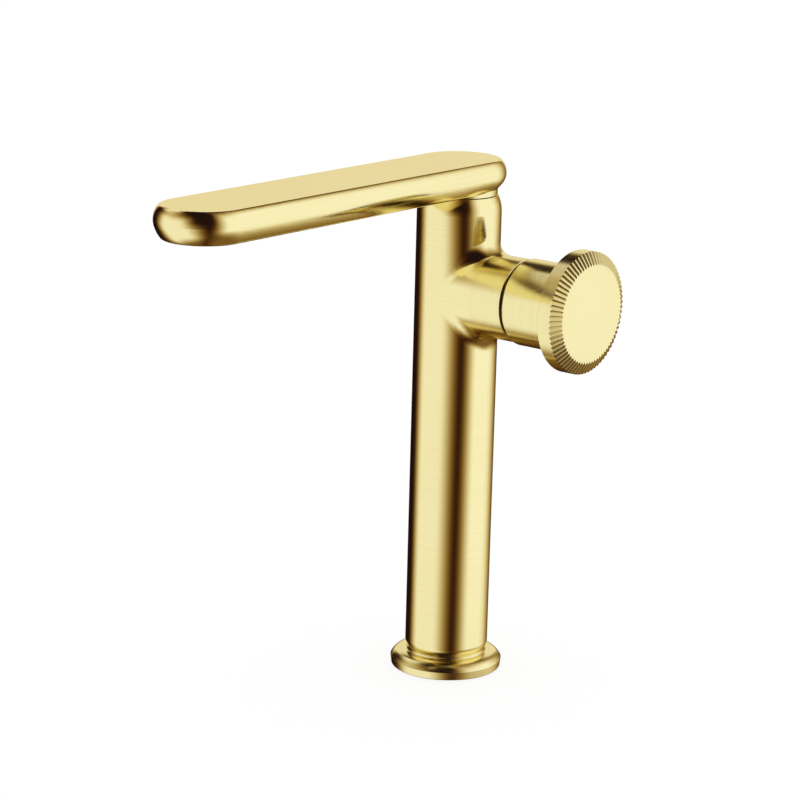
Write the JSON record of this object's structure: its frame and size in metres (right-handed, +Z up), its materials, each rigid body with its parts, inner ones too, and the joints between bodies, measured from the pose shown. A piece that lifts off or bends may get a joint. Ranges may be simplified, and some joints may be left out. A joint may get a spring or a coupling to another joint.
{
  "type": "basin mixer faucet",
  "caption": "Tall brushed-gold basin mixer: round column on a domed base ring, flat-topped swivelling bar spout and a side arm with a knurled disc knob.",
  "frame": {"origin": "centre of the foot on the deck plane, on the column's axis", "axes": "+Z up along the column, -Y along the spout towards the user, +X along the valve arm towards the knob"},
  "size_m": [0.1053, 0.2249, 0.2499],
  "materials": {
    "brushed_gold": "brushed, PVD gold",
    "raw_brass": "machined",
    "copper": "drawn tube",
    "rubber": "moulded",
    "grey_plastic": "moulded",
    "white_plastic": "moulded",
    "ceramic": "lapped",
    "steel": "turned"
  },
  "bodies": {
    "faucet_body": {"base_ring": "brushed_gold", "base_gasket": "rubber", "foot_block": "raw_brass", "hot_inlet_tube": "copper", "cold_inlet_tube": "copper", "tube_seals": "rubber", "column_body": "brushed_gold", "valve_block": "raw_brass", "outlet_nipple": "raw_brass", "nipple_seals": "rubber", "cartridge_base": "grey_plastic", "cartridge_port_seals": "rubber", "fixed_disc": "ceramic", "cartridge_housing": "grey_plastic", "friction_washer": "white_plastic", "cartridge_nut": "raw_brass", "stop_ring": "white_plastic", "slip_ring": "white_plastic", "swivel_socket": "raw_brass", "spout_stop_screw": "steel"},
    "knob_assembly": {"knob": "brushed_gold", "knob_insert": "white_plastic", "grub_screw": "steel", "screw_plug": "brushed_gold", "spindle": "raw_brass", "spindle_seal": "rubber", "moving_disc": "ceramic"},
    "spout_assembly": {"spout": "brushed_gold", "spout_spigot": "raw_brass", "spigot_seals": "rubber", "aerator_shell": "brushed_gold", "aerator_core": "grey_plastic", "aerator_screen": "steel", "flow_regulator": "grey_plastic", "aerator_seal": "rubber"}
  },
  "joints": [
    {"name": "knob_turn", "type": "hinge", "parent": "faucet_body", "child": "knob_assembly", "pos_m": [0, 0, 0.1874], "axis": [1, 0, 0], "range_deg": [0, 100]},
    {"name": "spout_swivel", "type": "hinge", "parent": "faucet_body", "child": "spout_assembly", "pos_m": [0, 0, 0.222], "axis": [0, 0, 1], "range_deg": [-60, 60]}
  ]
}
